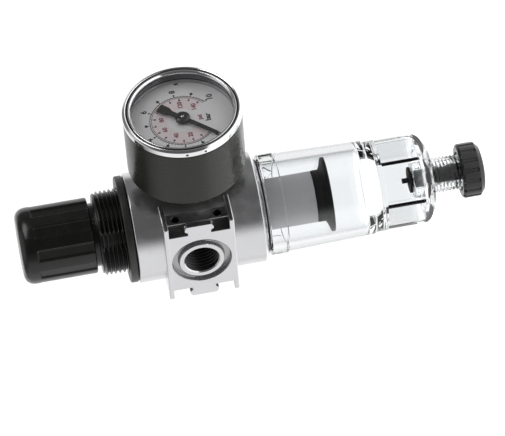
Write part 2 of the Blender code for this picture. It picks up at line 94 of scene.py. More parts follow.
def lobe(direction, a, b, to_a, to_b):
    """Brightness by the angle to a direction, with a soft edge."""
    dot = wt.nodes.new("ShaderNodeVectorMath")
    dot.operation = "DOT_PRODUCT"
    dot.inputs[1].default_value = Vector(direction).normalized()
    mp = wt.nodes.new("ShaderNodeMapRange")
    mp.interpolation_type = "SMOOTHSTEP"
    for key, value in (("From Min", a), ("From Max", b), ("To Min", to_a), ("To Max", to_b)):
        mp.inputs[key].default_value = value
    wt.links.new(w_co.outputs["Generated"], dot.inputs[0])
    wt.links.new(dot.outputs["Value"], mp.inputs["Value"])
    return mp.outputs["Result"]


def w_math(op, x, y):
    m = wt.nodes.new("ShaderNodeMath")
    m.operation = op
    wt.links.new(x, m.inputs[0])
    wt.links.new(y, m.inputs[1])
    return m.outputs[0]


side = lobe((-0.74, 0.67, 0.05), 0.42, 0.90, 0.21, 1.12)
behind_camera = lobe((-0.60, -0.79, 0.12), 0.45, 0.86, 1.0, 0.55)
level = w_math("MULTIPLY", side, behind_camera)
level = w_math("MAXIMUM", level, lobe((0.668, 0.739, -0.085), 0.45, 0.75, 0.0, 1.10))
level = w_math("MAXIMUM", level, lobe((0.0, 0.0, 1.0), 0.80, 0.95, 0.0, 0.9))
level = w_math("MAXIMUM", level, lobe((0.0, 0.0, -1.0), 0.70, 0.95, 0.0, 1.0))
wt.links.new(level, w_bg.inputs["Strength"])
w_bg.inputs["Color"].default_value = (1.0, 1.0, 1.0, 1.0)
w_white.inputs["Color"].default_value = (1.0, 1.0, 1.0, 1.0)
w_white.inputs["Strength"].default_value = 1.08
wt.links.new(w_path.outputs["Is Camera Ray"], w_mix.inputs[0])
wt.links.new(w_bg.outputs[0], w_mix.inputs[1])
wt.links.new(w_white.outputs[0], w_mix.inputs[2])
wt.links.new(w_mix.outputs[0], w_out.inputs["Surface"])


def soft_light(name, loc, target, size, power):
    la = bpy.data.lights.new(name, "AREA")
    la.shape = "DISK"
    la.size = size
    la.energy = power
    ob = bpy.data.objects.new(name, la)
    ob.location = loc
    ob.rotation_euler = (Vector(target) - Vector(loc)).to_track_quat("-Z", "Y").to_euler()
    scene.collection.objects.link(ob)
    return ob


soft_light("softbox_front", (0.16, -0.74, 0.46), (0, 0, 0), 0.60, 3.6)


# ------------------------------------------------------------------ materials
def nodes_of(m):
    m.use_nodes = True
    nt = m.node_tree
    return nt, nt.nodes["Principled BSDF"]


def finish(name, base, rough, metal=0.0, var=0.06, var_scale=70.0, rough_var=0.05, rough_scale=260.0,
           grain=1400.0, bump=0.12, bump_mm=0.03, streak=None, **fixed):
    """Base colour, roughness and normal all vary at their own scale, in object space."""
    m = bpy.data.materials.new(name)
    nt, b = nodes_of(m)
    co = nt.nodes.new("ShaderNodeTexCoord")
    src = co.outputs["Object"]
    if streak:
        mp = nt.nodes.new("ShaderNodeMapping")
        mp.inputs["Scale"].default_value = streak
        nt.links.new(src, mp.inputs["Vector"])
        src_g = mp.outputs["Vector"]
    else:
        src_g = src
    n1 = nt.nodes.new("ShaderNodeTexNoise")
    n1.inputs["Scale"].default_value = var_scale
    n1.inputs["Detail"].default_value = 4.0
    nt.links.new(src, n1.inputs["Vector"])
    lo = [max(c * (1 - var), 0.0) for c in base]
    hi = [min(c * (1 + var), 1.0) for c in base]
    mix = nt.nodes.new("ShaderNodeMix")
    mix.data_type = "RGBA"
    mix.inputs["A"].default_value = (*lo, 1.0)
    mix.inputs["B"].default_value = (*hi, 1.0)
    nt.links.new(n1.outputs["Fac"], mix.inputs["Factor"])
    nt.links.new(mix.outputs["Result"], b.inputs["Base Color"])
    n2 = nt.nodes.new("ShaderNodeTexNoise")
    n2.inputs["Scale"].default_value = rough_scale
    n2.inputs["Detail"].default_value = 3.0
    nt.links.new(src, n2.inputs["Vector"])
    mr = nt.nodes.new("ShaderNodeMapRange")
    mr.inputs["From Min"].default_value = 0.3
    mr.inputs["From Max"].default_value = 0.7
    mr.inputs["To Min"].default_value = max(rough - rough_var, 0.0)
    mr.inputs["To Max"].default_value = min(rough + rough_var, 1.0)
    nt.links.new(n2.outputs["Fac"], mr.inputs["Value"])
    nt.links.new(mr.outputs["Result"], b.inputs["Roughness"])
    if bump > 0:
        n3 = nt.nodes.new("ShaderNodeTexNoise")
        n3.inputs["Scale"].default_value = grain
        n3.inputs["Detail"].default_value = 2.0
        nt.links.new(src_g, n3.inputs["Vector"])
        bp = nt.nodes.new("ShaderNodeBump")
        bp.inputs["Strength"].default_value = bump
        bp.inputs["Distance"].default_value = bump_mm * MM
        nt.links.new(n3.outputs["Fac"], bp.inputs["Height"])
        nt.links.new(bp.outputs["Normal"], b.inputs["Normal"])
    b.inputs["Metallic"].default_value = metal
    for key, value in fixed.items():
        b.inputs[key.replace("_", " ")].default_value = value
    return m


CAST = finish("cast_grey", (0.60, 0.60, 0.615), 0.22, 0.96, var=0.05, var_scale=110, rough_var=0.05, grain=1900, bump=0.30, bump_mm=0.03)
# painted shade: the recess floor between the port ribs gets a near-black cast colour that stands in for the shade there
RECESS_SHADE = finish("cast_recess_painted_shade", (0.11, 0.11, 0.105), 0.36, 0.8, var=0.10, var_scale=160, rough_var=0.06, grain=1700, bump=0.35, bump_mm=0.03)
# painted shade: a near-black metal colour inside the threaded ports and screw holes, standing in for the shade deep in
# the bores
BORE_SHADE = finish("bore_painted_shade", (0.055, 0.055, 0.055), 0.34, 0.75, var=0.10, rough_var=0.06, grain=900, bump=0.15, streak=(6.0, 1.0, 1.0))
BLACK = finish("black_plastic", (0.006, 0.006, 0.0053), 0.25, 0.0, var=0.15, rough_var=0.06, grain=2600, bump=0.25, bump_mm=0.02, Specular_IOR_Level=0.38)
NUT = finish("black_plastic_nut", (0.012, 0.012, 0.011), 0.42, 0.0, var=0.15, rough_var=0.06, grain=2200, bump=0.35, bump_mm=0.03)
ENAMEL = finish("black_enamel", (0.0175, 0.018, 0.014), 0.27, 0.0, var=0.08, rough_var=0.04, grain=1500, bump=0.10, bump_mm=0.015, Specular_IOR_Level=0.27)
BAFFLE = finish("black_matt_plastic", (0.0035, 0.0035, 0.0035), 0.55, 0.0, var=0.15, rough_var=0.06, grain=2600, bump=0.25, bump_mm=0.02, Specular_IOR_Level=0.04)
NICKEL = finish("dull_nickel", (0.30, 0.295, 0.28), 0.33, 1.0, var=0.06, rough_var=0.06, grain=1300, bump=0.12)
# painted shade: a darker cast colour on the walls of the ring groove round each port, standing in for the shade in the
# groove
GROOVE_SHADE = finish("cast_groove_painted_shade", (0.36, 0.36, 0.365), 0.27, 0.9, var=0.08, var_scale=160, rough_var=0.05, grain=1700, bump=0.2, bump_mm=0.02)
RING = finish("satin_ring", (0.42, 0.42, 0.43), 0.38, 0.5, var=0.04, rough_var=0.06, grain=1500, bump=0.1, bump_mm=0.01)
WALL = finish("gauge_inner_wall", (0.13, 0.13, 0.14), 0.45, 0.0, var=0.08, rough_var=0.06, grain=1500, bump=0.1, bump_mm=0.01)
FILTER = finish("sintered_grey", (0.62, 0.615, 0.62), 0.62, 0.0, var=0.10, var_scale=900, rough_var=0.10, grain=5200, bump=0.6, bump_mm=0.05)
# black rubber for the seals and diaphragm; also used as painted shade in the bezel groove and at the bezel notches
BLACK_RUBBER_AND_SHADE = finish("rubber_black", (0.010, 0.010, 0.010), 0.55, 0.0, var=0.15, grain=1800, bump=0.25, bump_mm=0.03)
STEEL = finish("spring_steel", (0.56, 0.56, 0.57), 0.26, 1.0, var=0.05, rough_var=0.07, grain=1500, bump=0.12, streak=(1.0, 1.0, 7.0))
BRASS = finish("brass", (0.66, 0.50, 0.25), 0.27, 1.0, var=0.08, var_scale=180, rough_var=0.07, grain=1300, bump=0.15, streak=(1.0, 6.0, 1.0))
CHROME = finish("chrome_bezel", (0.74, 0.74, 0.75), 0.13, 1.0, var=0.02, rough_var=0.03, grain=900, bump=0.05, bump_mm=0.01)
DIAL = finish("dial_white", (0.90, 0.895, 0.905), 0.48, 0.0, var=0.02, rough_var=0.05, grain=2400, bump=0.12, bump_mm=0.01)
INK = finish("print_black", (0.030, 0.030, 0.034), 0.5, 0.0, var=0.10, rough_var=0.05, grain=3000, bump=0.1, bump_mm=0.01)
INK_RED = finish("print_red", (0.30, 0.10, 0.13), 0.5, 0.0, var=0.08, rough_var=0.05, grain=3000, bump=0.1, bump_mm=0.01)
INK_PINK = finish("print_tint", (0.90, 0.80, 0.82), 0.48, 0.0, var=0.02, rough_var=0.05, grain=2400, bump=0.1, bump_mm=0.01)
POINTER = finish("pointer_black", (0.014, 0.014, 0.014), 0.38, 0.0, var=0.12, rough_var=0.05, grain=1800, bump=0.12, bump_mm=0.01)


def clear(name, tint, rough, ior, wave=0.0, grain=120.0, edge=None):
    m = bpy.data.materials.new(name)
    nt, b = nodes_of(m)
    b.inputs["Base Color"].default_value = (*tint, 1.0)
    b.inputs["Transmission Weight"].default_value = 1.0
    b.inputs["IOR"].default_value = ior
    # painted shade: with edge given, the base colour darkens towards the outline where the surface turns away from view
    if edge:
        lw = nt.nodes.new("ShaderNodeLayerWeight")
        lw.inputs["Blend"].default_value = 0.5
        er = nt.nodes.new("ShaderNodeMapRange")
        er.inputs["From Min"].default_value = 0.40
        nt.links.new(lw.outputs["Facing"], er.inputs["Value"])
        mx = nt.nodes.new("ShaderNodeMix")
        mx.data_type = "RGBA"
        mx.inputs[6].default_value = (*tint, 1.0)
        mx.inputs[7].default_value = (*edge, 1.0)
        nt.links.new(er.outputs["Result"], mx.inputs[0])
        nt.links.new(mx.outputs[2], b.inputs["Base Color"])
    co = nt.nodes.new("ShaderNodeTexCoord")
    n = nt.nodes.new("ShaderNodeTexNoise")
    n.inputs["Scale"].default_value = grain
    n.inputs["Detail"].default_value = 2.0
    nt.links.new(co.outputs["Object"], n.inputs["Vector"])
    mr = nt.nodes.new("ShaderNodeMapRange")
    mr.inputs["To Min"].default_value = max(rough - 0.01, 0.0)
    mr.inputs["To Max"].default_value = rough + 0.015
    nt.links.new(n.outputs["Fac"], mr.inputs["Value"])
    nt.links.new(mr.outputs["Result"], b.inputs["Roughness"])
    if wave:
        bp = nt.nodes.new("ShaderNodeBump")
        bp.inputs["Strength"].default_value = wave
        bp.inputs["Distance"].default_value = 0.02 * MM
        nt.links.new(n.outputs["Fac"], bp.inputs["Height"])
        nt.links.new(bp.outputs["Normal"], b.inputs["Normal"])
    return m


# the bowl's tint is painted darker towards its outline
CLEAR = clear("clear_polycarbonate", (0.94, 0.955, 0.962), 0.012, 1.50, wave=0.15, grain=90, edge=(0.10, 0.12, 0.13))
LENS = clear("clear_lens", (0.99, 0.99, 0.99), 0.01, 1.46, wave=0.05, grain=60)


# ------------------------------------------------------------------ mesh tools
def rounded(pts, closed, default=0.2, seg=3):
    """Profile corners (r, z[, fillet]) replaced by small arcs."""
    out = []
    n = len(pts)
    for i, p in enumerate(pts):
        f = p[2] if len(p) > 2 else default
        if (not closed and i in (0, n - 1)) or f <= 0:
            out.append((p[0], p[1]))
            continue
        a, b, c = Vector(pts[i - 1][:2]), Vector(p[:2]), Vector(pts[(i + 1) % n][:2])
        u, v = a - b, c - b
        lu, lv = u.length, v.length
        if lu < 1e-6 or lv < 1e-6:
            out.append((p[0], p[1]))
            continue
        u /= lu
        v /= lv
        ang = u.angle(v)
        if ang > math.radians(171):
            out.append((p[0], p[1]))
            continue
        t = min(f / math.tan(ang / 2), 0.46 * lu, 0.46 * lv)
        p0, p1 = b + u * t, b + v * t
        for k in range(seg + 1):
            s = k / seg
            q = (1 - s) ** 2 * p0 + 2 * s * (1 - s) * b + s * s * p1
            out.append((q.x, q.y))
    return out


def lathe(prof, steps=96, closed=False, fillet=0.2, seg=3, angles=None, mod=None, split=()):
    """Turns a profile about Z. mod(r, z, a) may move a point; split gives extra heights."""
    prof = rounded(prof, closed, fillet, seg)
    if split:
        dense = []
        n = len(prof)
        for i in range(n if closed else n - 1):
            (r0, z0), (r1, z1) = prof[i], prof[(i + 1) % n]
            dense.append((r0, z0))
            cuts = sorted((z for z in split if min(z0, z1) + 1e-4 < z < max(z0, z1) - 1e-4), reverse=z1 < z0)
            for z in cuts:
                s = (z - z0) / (z1 - z0)
                dense.append((r0 + (r1 - r0) * s, z))
        if not closed:
            dense.append(prof[-1])
        prof = dense
    angles = angles or [2 * math.pi * i / steps for i in range(steps)]
    m = len(angles)
    bm = bmesh.new()
    rings = []
    for r, z in prof:
        if r < 1e-6:
            rings.append([bm.verts.new((0, 0, z * MM))])
            continue
        ring = []
        for a in angles:
            rr, zz = mod(r, z, a) if mod else (r, z)
            ring.append(bm.verts.new((rr * math.cos(a) * MM, rr * math.sin(a) * MM, zz * MM)))
        rings.append(ring)
    pairs = list(zip(rings, rings[1:])) + ([(rings[-1], rings[0])] if closed else [])
    for A, B in pairs:
        for i in range(m):
            j = (i + 1) % m
            if len(A) == 1 and len(B) == 1:
                break
            if len(A) == 1:
                bm.faces.new((A[0], B[j], B[i]))
            elif len(B) == 1:
                bm.faces.new((A[i], A[j], B[0]))
            else:
                bm.faces.new((A[i], A[j], B[j], B[i]))
    bmesh.ops.remove_doubles(bm, verts=bm.verts, dist=1e-8)
    bmesh.ops.recalc_face_normals(bm, faces=bm.faces)
    return bm


def threaded(crest, root, pitch, z0, z1, steps=96, samples=8, fade=0.8, limit=None, flat=0.14):
    """A closed rod with a helical V thread, its crest run out at both ends."""
    bm = bmesh.new()
    dz = pitch / samples
    rows = int(math.ceil((z1 - z0) / dz)) + samples + 3
    cols = []
    for i in range(steps):
        a = 2 * math.pi * i / steps
        col = []
        for j in range(rows + samples):
            zr = z0 - pitch - dz + j * dz + pitch * i / steps
            z = min(max(zr, z0), z1)
            h = 1 - abs(2 * ((j % samples) / samples) - 1)
            h = min(max((h - flat) / (1 - 2 * flat), 0.0), 1.0)
            e = min(max(min(zr - z0, z1 - zr) / fade, 0.0), 1.0)
            r = root + (crest - root) * h * e
            if limit:
                r = limit(r, z, a)
            col.append(bm.verts.new((r * math.cos(a) * MM, r * math.sin(a) * MM, z * MM)))
        cols.append(col)
    for i in range(steps):
        nxt = cols[(i + 1) % steps]
        shift = 0 if i < steps - 1 else samples
        for j in range(rows - 1):
            bm.faces.new((cols[i][j], nxt[j + shift], nxt[j + 1 + shift], cols[i][j + 1]))
    bmesh.ops.remove_doubles(bm, verts=bm.verts, dist=1e-7)
    loose = [v for v in bm.verts if not v.link_faces]
    bmesh.ops.delete(bm, geom=loose, context="VERTS")
    bmesh.ops.edgeloop_fill(bm, edges=[e for e in bm.edges if e.is_boundary])
    bmesh.ops.recalc_face_normals(bm, faces=bm.faces)
    return bm


def block(lo, hi, bevel=0.3, seg=3):
    bm = bmesh.new()
    bmesh.ops.create_cube(bm, size=1.0)
    size = [(b - a) * MM for a, b in zip(lo, hi)]
    mid = [(b + a) / 2 * MM for a, b in zip(lo, hi)]
    bmesh.ops.transform(bm, matrix=Matrix.Translation(mid) @ Matrix.Diagonal((*size, 1)), verts=bm.verts)
    if bevel:
        bmesh.ops.bevel(bm, geom=bm.edges[:], offset=bevel * MM, segments=seg, profile=0.5, affect="EDGES", clamp_overlap=True)
    return bm


def plate(points, z0, z1, bevel=0.0, seg=2):
    """A flat outline in XY with thickness and softened edges."""
    bm = bmesh.new()
    vs = [bm.verts.new((x * MM, y * MM, z0 * MM)) for x, y in points]
    f = bm.faces.new(vs)
    res = bmesh.ops.extrude_face_region(bm, geom=[f])
    bmesh.ops.translate(bm, vec=(0, 0, (z1 - z0) * MM), verts=[v for v in res["geom"] if isinstance(v, bmesh.types.BMVert)])
    bmesh.ops.recalc_face_normals(bm, faces=bm.faces)
    if bevel:
        bmesh.ops.bevel(bm, geom=bm.edges[:], offset=bevel * MM, segments=seg, profile=0.5, affect="EDGES", clamp_overlap=True)
    return bm


def moved(bm, matrix):
    bmesh.ops.transform(bm, matrix=matrix, verts=bm.verts)
    if matrix.determinant() < 0:
        bmesh.ops.reverse_faces(bm, faces=bm.faces)
    return bm


def turn(axis, deg):
    return Matrix.Rotation(math.radians(deg), 4, axis)


Y_OUT = turn("X", 90)
Y_BACK = turn("X", -90)
X_POS = turn("Y", 90)
X_NEG = turn("Y", -90)


def as_object(bm, name):
    me = bpy.data.meshes.new(name)
    bm.to_mesh(me)
    bm.free()
    ob = bpy.data.objects.new(name, me)
    scene.collection.objects.link(ob)
    return ob


def combined(name, base, steps):
    """Boolean chain (op, bmesh) worked out at once and kept as a plain mesh."""
    ob = as_object(base, name)
    others = []
    for i, (op, bm) in enumerate(steps):
        o = as_object(bm, "%s_%d" % (name, i))
        m = ob.modifiers.new("b%d" % i, "BOOLEAN")
        m.operation = op
        m.solver = "EXACT"
        m.object = o
        others.append(o)
    bpy.context.view_layer.update()
    me = bpy.data.meshes.new_from_object(ob.evaluated_get(bpy.context.evaluated_depsgraph_get()))
    for o in others + [ob]:
        old = o.data
        bpy.data.objects.remove(o, do_unlink=True)
        bpy.data.meshes.remove(old)
    bm = bmesh.new()
    bm.from_mesh(me)
    bpy.data.meshes.remove(me)
    bmesh.ops.remove_doubles(bm, verts=bm.verts, dist=2e-7)
    return bm


def joined(*bms):
    bm = bmesh.new()
    for b in bms:
        me = bpy.data.meshes.new("j")
        b.to_mesh(me)
        b.free()
        bm.from_mesh(me)
        bpy.data.meshes.remove(me)
    return bm


def piece(name, bm, mat, body, nodes=(), sharp=32, extra=None):
    me = bpy.data.meshes.new(name)
    bm.to_mesh(me)
    bm.free()
    ob = bpy.data.objects.new(name, me)
    scene.collection.objects.link(ob)
    me.materials.append(mat)
    for i, (other, where) in enumerate(extra or ()):
        me.materials.append(other)
        for p in me.polygons:
            if where(p.center / MM, p.normal):
                p.material_index = i + 1
    for p in me.polygons:
        p.use_smooth = True
    me.set_sharp_from_angle(angle=math.radians(sharp))
    wn = ob.modifiers.new("weighted", "WEIGHTED_NORMAL")
    wn.mode = "FACE_AREA"
    wn.weight = 80
    wn.keep_sharp = True
    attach(ob, body)
    if nodes:
        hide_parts(*nodes)
    return ob


def box_wave(a, n, start, half, edge):
    """1 inside n evenly spaced bands of half-width half, 0 outside, with soft edges (radians)."""
    step = 2 * math.pi / n
    d = abs((a - start + step / 2) % step - step / 2)
    t = min(max((half + edge / 2 - d) / edge, 0.0), 1.0)
    return t * t * (3 - 2 * t)


def band_angles(n, start, half, edge, plain=4):
    out = []
    step = 2 * math.pi / n
    marks = [-half - edge / 2, -half - edge / 4, -half, -half + edge / 4, -half + edge / 2, 0.0,
             half - edge / 2, half - edge / 4, half, half + edge / 4, half + edge / 2]
    gap0, gap1 = half + edge / 2, step - half - edge / 2
    for k in range(n):
        for m in marks:
            out.append(start + k * step + m)
        for j in range(1, plain + 1):
            out.append(start + k * step + gap0 + (gap1 - gap0) * j / (plain + 1))
    return sorted(a % (2 * math.pi) for a in out)


def smooth01(x, lo, hi):
    t = min(max((x - lo) / (hi - lo), 0.0), 1.0)
    return t * t * (3 - 2 * t)


# ------------------------------------------------------------------ die-cast body
TONGUE = [(-4.0, 12.6), (4.0, 12.6), (4.0, 14.4), (5.0, 15.0), (5.0, 16.0), (4.2, 17.25),
          (-4.2, 17.25), (-5.0, 16.0), (-5.0, 15.0), (-4.0, 14.4)]
base = lathe([(0, 21.4), (19.0, 21.4, 0.5), (19.0, -22.45, 0.3), (17.2, -23.75, 0.25), (0, -23.75)], 128)
ops = [("UNION", block((-20.0, -13.3, -10.8), (20.0, 13.3, 10.8), 0.3)),
       ("UNION", block((-15.8, -15.3, -10.6), (15.8, 15.3, 10.6), 0.3))]
for s in (-1, 1):
    z = sorted((s * 10.4, s * 12.1))
    ops.append(("UNION", block((-20.05, -17.4, z[0]), (20.05, 17.4, z[1]), 0.4)))
for sx in (-1, 1):
    for sy in (-1, 1):
        pts = [(u, v * sy) for u, v in TONGUE]
        if sy < 0:
            pts.reverse()
        t = plate([(-sx * u, v) for u, v in pts], 17.9, 20.02, 0.22)
        ops.append(("UNION", moved(t, X_POS if sx > 0 else X_NEG)))
for rot in (Y_OUT, Y_BACK):
    ops.append(("UNION", moved(lathe([(0, 20.2), (8.2, 20.2, 0.4), (8.2, 12.5), (0, 12.5)], 64), rot)))
ops.append(("DIFFERENCE", lathe([(0, 30), (16.3, 30, 0), (16.3, 21.3, 0), (16.0, 21.0, 0), (16.0, 13.7), (14.2, 13.7), (14.2, 10.0), (3.4, 10.0),
                                 (3.4, 5.3), (7.0, 5.3), (7.0, -12.0), (15.4, -12.0), (15.4, -23.3, 0), (15.8, -23.75, 0), (15.8, -30, 0), (0, -30)], 120)))
for rot in (X_NEG, X_POS):
    mouth = lathe([(0, 22), (6.25, 22, 0), (6.25, 20.0, 0), (5.85, 19.6, 0), (5.85, 8.5, 0), (0, 8.5)], 72)
    ops.append(("DIFFERENCE", moved(mouth, rot)))
    ops.append(("DIFFERENCE", moved(threaded(6.56, 5.72, 1.337, 9.0, 19.2, 72, 8, fade=0.7), rot)))
    ops.append(("DIFFERENCE", moved(lathe([(10.3, 22, 0), (10.3, 20.0, 0), (10.15, 19.8, 0), (10.1, 18.2, 0.35), (7.95, 18.2, 0.35), (7.8, 19.8, 0), (7.65, 20.0, 0), (7.65, 22, 0)],
                                          96, closed=True), rot)))
for rot in (Y_OUT, Y_BACK):
    ops.append(("DIFFERENCE", moved(lathe([(0, 24), (5.2, 24, 0), (5.2, 20.2, 0), (4.8, 19.8, 0), (4.8, 9.2, 0), (0, 9.2)], 48), rot)))
for sx in (-1, 1):
    for rot in (Y_OUT, Y_BACK):
        for sz in (-1, 1):
            hole = lathe([(0, 19), (1.6, 19, 0), (1.6, 15.35, 0), (1.35, 15.1, 0), (1.35, 10.2, 0), (0, 10.2)], 24)
            ops.append(("DIFFERENCE", moved(hole, Matrix.Translation((13.5 * sx * MM, 0, 7.2 * sz * MM)) @ rot)))
body_bm = combined("body_work", base, ops)


def in_port(c, n):
    return 8.6 < abs(c.x) < 19.62 and math.hypot(c.y, c.z) < 6.62


# faces of the recess floor that carry the painted shade
def in_recess(c, n):
    return abs(abs(c.y) - 13.3) < 0.15 and abs(n.y) > 0.8 and 15.9 < abs(c.x) < 19.95 and abs(c.z) < 10.4


def in_groove(c, n):
    return 18.0 < abs(c.x) < 19.9 and 7.6 < math.hypot(c.y, c.z) < 10.35


def in_screw_hole(c, n):
    return abs(c.y) < 15.25 and math.hypot(abs(c.x) - 13.5, abs(c.z) - 7.2) < 1.66 and abs(c.y) > 10.0


# the port bores, screw holes, rib recess floor and port ring groove carry painted shade
piece("v_body", body_bm, CAST, "housing", ["body"], sharp=30, extra=[(BORE_SHADE, in_port), (RECESS_SHADE, in_recess), (GROOVE_SHADE, in_groove), (BORE_SHADE, in_screw_hole)])


# ------------------------------------------------------------------ threaded bonnet and panel nut
def key_flat(r, z, a):
    """Flat slot along the thread, where a panel tab locks the unit."""
    deg = math.degrees(a) % 360
    for centre in (215.0, 35.0):
        d = abs((deg - centre + 180) % 360 - 180)
        if d < 11.5:
            r = min(r, 13.75 + max(d - 10.6, 0.0) * 1.2)
    return r


bonnet = lathe([(10.9, 43.0, 0.3), (10.9, 33.1, 0.3), (13.55, 33.1, 0.25), (13.55, 21.7, 0), (15.6, 21.5, 0.2), (15.6, 15.1, 0.2), (11.8, 15.1, 0.2),
                (11.8, 32.0, 0), (3.4, 32.0, 0), (3.4, 35.0, 0.2), (8.5, 35.0, 0.2), (8.5, 43.0, 0.3)], closed=True,
               angles=band_angles(20, 0.0, math.radians(4.0), math.radians(1.6), 2),
               mod=lambda r, z, a: (r - 0.45 * box_wave(a, 20, 0.0, math.radians(4.0), math.radians(1.6)) * smooth01(z, 37.5, 38.0) if r > 10.0 and z > 37 else r, z),
               split=(37.5, 37.7, 37.85, 38.0))
thread = threaded(14.5, 13.55, 1.5, 21.75, 33.05, 120, 8, fade=0.9, limit=key_flat)
bore = lathe([(0, 40), (12.6, 40, 0), (12.6, 20, 0), (0, 20)], 96)
thread = combined("thread_work", thread, [("DIFFERENCE", bore)])
piece("v_bonnet", joined(bonnet, thread), BLACK, "housing", ["bonnet"], sharp=40)

RIBS = 120
nut_angles = [2 * math.pi * i / (RIBS * 6) for i in range(RIBS * 6)]
nut = lathe([(18.15, 24.3, 0.15), (18.45, 24.0, 0.15), (18.45, 22.0, 0.15), (18.15, 21.7, 0.15), (14.75, 21.7, 0.2), (14.75, 24.3, 0.3)], closed=True, angles=nut_angles,
            mod=lambda r, z, a: (r - 0.05 * (0.5 + 0.5 * math.cos(RIBS * a)) if r > 18.3 else r, z))
piece("v_panel_nut", nut, NUT, "clamp_nut", ["panel_nut"], sharp=40)


# ------------------------------------------------------------------ adjusting knob
K0 = math.radians(-151.2)
KH, KE = 1.75 / 13.2, 0.75 / 13.2


def knob_mod(r, z, a):
    if r > 12.3:
        g = box_wave(a, 10, K0, KH, KE) * (1 - smooth01(z, 54.25, 54.7))
        r -= 0.6 * g
    return r, z


knob = lathe([(0, 60.0), (9.8, 60.0, 0), (10.9, 59.82, 0), (12.0, 59.2, 0), (12.75, 58.2, 0), (13.1, 57.2, 0), (13.2, 56.2, 0), (13.2, 35.3, 0.2), (12.8, 34.9, 0.15),
              (11.3, 34.9, 0.25), (11.3, 44.5, 0.2), (10.0, 44.5, 0.1), (10.0, 57.0, 0.5), (5.6, 57.0, 0.3), (5.6, 36.2, 0.2), (3.3, 36.2, 0.2), (3.3, 57.6, 0.1), (0, 57.6)],
             angles=band_angles(10, K0, KH, KE, 8), mod=knob_mod, split=(54.2, 54.32, 54.44, 54.56, 54.7, 50.0, 45.0, 40.0))
piece("v_adjusting_knob", knob, BLACK, "knob", ["adjusting_knob"], sharp=62)

# ------------------------------------------------------------------ filter, baffle
sleeve = lathe([(8.85, -15.9, 0.2), (8.85, -42.2, 0.2), (6.2, -42.2, 0.3), (6.2, -15.9, 0.3)], 96, closed=True)
piece("v_filter_element", sleeve, FILTER, "housing", ["filter_element"])
baffle = lathe([(0, -10.6), (2.9, -10.6, 0.4), (2.9, -42.5, 0.2), (8.95, -42.5, 0.25), (8.95, -45.0, 0.4), (10.2, -45.7, 0.8), (12.9, -46.5, 0.2), (12.9, -47.5, 0.25), (11.9, -47.5, 0.2),
                (9.0, -46.4, 0.5), (7.4, -45.8, 0.4), (7.4, -44.4, 0.2), (0, -44.4)], 96)
piece("v_baffle", baffle, BAFFLE, "housing", ["baffle"])
swirl = lathe([(12.9, -12.4, 0.2), (12.9, -15.6, 0.3), (5.2, -15.6, 0.2), (5.2, -12.4, 0.2)], closed=True, angles=band_angles(10, 0.2, 1.1 / 12, 0.3 / 12, 4),
              mod=lambda r, z, a: (r - 2.0 * box_wave(a, 10, 0.2, 1.1 / 12, 0.3 / 12) if r > 12 else r, z))
piece("v_swirl_ring", swirl, BLACK, "housing", ["swirl_ring"], sharp=40)

# ------------------------------------------------------------------ clear bowl
HEX_R = 27.0 / 2 / math.cos(math.pi / 6)


def hex_outline(r, soft=0.6, n=4):
    """A hexagon with softened corners."""
    pts = []
    for i in range(6):
        a = math.radians(-105 + 60 * i)
        p = Vector((r * math.cos(a), r * math.sin(a)))
        a0, a1 = math.radians(-165 + 60 * i), math.radians(-45 + 60 * i)
        u = (Vector((r * math.cos(a0), r * math.sin(a0))) - p).normalized() * soft
        v = (Vector((r * math.cos(a1), r * math.sin(a1))) - p).normalized() * soft
        for k in range(n + 1):
            s = k / n
            q = (1 - s) ** 2 * (p + u) + 2 * s * (1 - s) * p + s * s * (p + v)
            pts.append((q.x, q.y))
    return pts


outer = lathe([(0, -13.4), (15.0, -13.4, 0.4), (15.0, -24.9, 0.2), (17.4, -24.9, 0.35), (17.4, -30.5, 0.4), (17.0, -30.9, 0.2), (16.2, -61.1, 0.25), (15.7, -61.6, 0.2), (15.7, -65.8, 0.3),
               (13.2, -66.2, 0), (13.2, -79.5, 0), (0, -79.5)], 144, split=[-25.35 - 0.42 * k for k in range(13)])
dome = lathe([(0, -55), (15.9, -55, 0), (15.9, -78.9, 1.2), (14.6, -80.9, 1.6), (12.4, -82.5, 1.2), (10.6, -83.4, 0.6), (0, -83.4)], 128, seg=5)
lower = combined("hex_work", plate(hex_outline(HEX_R), -83.6, -65.2), [("INTERSECT", dome)])
nipple = threaded(6.2, 5.62, 1.25, -95.4, -80.9, 96, 8, fade=0.5, flat=0.08)
inside = lathe([(0, -10), (13.5, -10, 0), (13.5, -23.5, 0.3), (14.0, -25.5, 0.5), (13.6, -58.8, 2.5), (11.0, -64.6, 2.0), (11.0, -78.2, 1.2), (9.6, -80.6, 1.2), (6.6, -81.2, 0.5),
                (6.6, -76.9, 0.4), (0, -76.9)], 128, seg=4)
hex_room = combined("hex_room", plate(hex_outline(22.8 / 2 / math.cos(math.pi / 6), soft=0.5), -79.4, -64.2, 0.35, 2),
                    [("DIFFERENCE", lathe([(0, -76.9), (6.6, -76.9, 0.4), (6.6, -90, 0), (0, -90)], 96))])
drain_bore = lathe([(0, -70), (3.4, -70, 0), (3.4, -84.2, 0.1), (4.1, -84.2, 0.1), (4.1, -99, 0), (0, -99)], 64)


